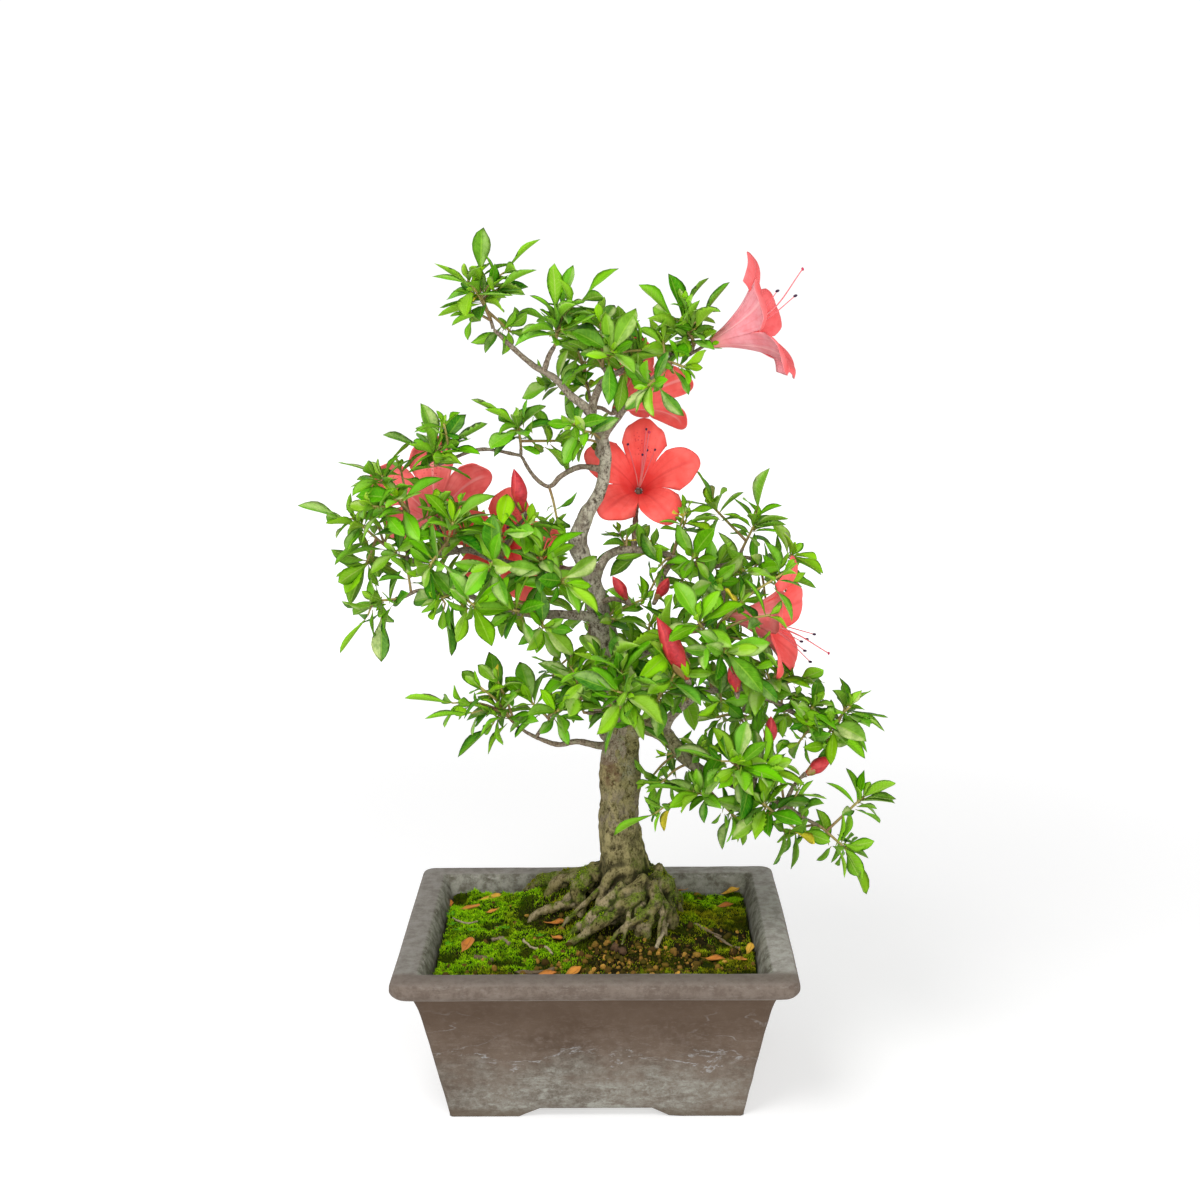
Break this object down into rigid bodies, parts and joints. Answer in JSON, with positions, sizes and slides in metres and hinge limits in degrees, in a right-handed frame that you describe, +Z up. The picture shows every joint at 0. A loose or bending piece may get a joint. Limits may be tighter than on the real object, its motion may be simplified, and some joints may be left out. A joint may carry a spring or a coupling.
{
  "type": "satsuki azalea bonsai",
  "caption": "Flowering azalea grown as a bonsai in a shallow rectangular clay pot, with a leaning trunk, surface roots, leafy sprays, open blooms and buds over mossy soil.",
  "frame": {"origin": "on the surface that the pot stands on, under the middle of the whole tree's box", "axes": "+Z up, +X to the right across the pot's wide face, +Y to the back"},
  "size_m": [0.2996, 0.1772, 0.4418],
  "materials": {
    "clay": "unglazed, matt, with pale mineral bloom",
    "screen": "matt",
    "mossy_soil": "rough soil under moss",
    "bark": "rough bark with lichen and moss",
    "leaves": "satin to glossy green leaf",
    "petals": "soft matt petal, paler outside",
    "buds": "satin crimson petal",
    "dry_leaves": "dry and matt"
  },
  "bodies": {
    "root": {"pot": "clay", "drain_screen_left": "screen", "drain_screen_right": "screen", "wood": "bark", "soil": "mossy_soil", "bloom_crown": "petals", "bloom_crown_back": "petals", "bloom_centre": "petals", "bloom_left": "petals", "bloom_left_inner": "petals", "bloom_right": "petals", "bud_front": "buds", "bud_middle": "buds", "bud_middle_right": "buds", "bud_right_low": "buds", "bud_right_tip": "buds", "bud_right": "buds", "bud_left": "buds", "spray_crown_left": "leaves", "spray_crown_whorl": "leaves", "spray_crown_middle": "leaves", "spray_crown_right": "leaves", "spray_crown_right_low": "leaves", "spray_crown_back": "leaves", "spray_upper_left": "leaves", "spray_left_high": "leaves", "spray_left_middle": "leaves", "spray_left_tip": "leaves", "spray_left_front": "leaves", "spray_left_inner": "leaves", "spray_left_inner_right": "leaves", "spray_left_hanging": "leaves", "spray_left_low_front": "leaves", "spray_left_low_right": "leaves", "spray_left_back": "leaves", "spray_left_back_low": "leaves", "spray_low_left": "leaves", "spray_low_left_middle": "leaves", "spray_low_left_upper": "leaves", "spray_front": "leaves", "spray_front_right": "leaves", "spray_right_top": "leaves", "spray_right_middle": "leaves", "spray_right_tip": "leaves", "spray_right_front": "leaves", "spray_right_upper": "leaves", "spray_right_upper_tip": "leaves", "spray_right_low": "leaves", "spray_right_low_front": "leaves", "spray_right_low_middle": "leaves", "spray_right_low_tip": "leaves", "spray_right_back": "leaves", "spray_right_back_low": "leaves", "spray_right_back_middle": "leaves", "spray_back": "leaves", "spray_back_low": "leaves", "fallen_leaf_1": "dry_leaves", "fallen_leaf_2": "dry_leaves", "fallen_leaf_3": "dry_leaves", "fallen_leaf_4": "dry_leaves"}
  },
  "joints": []
}
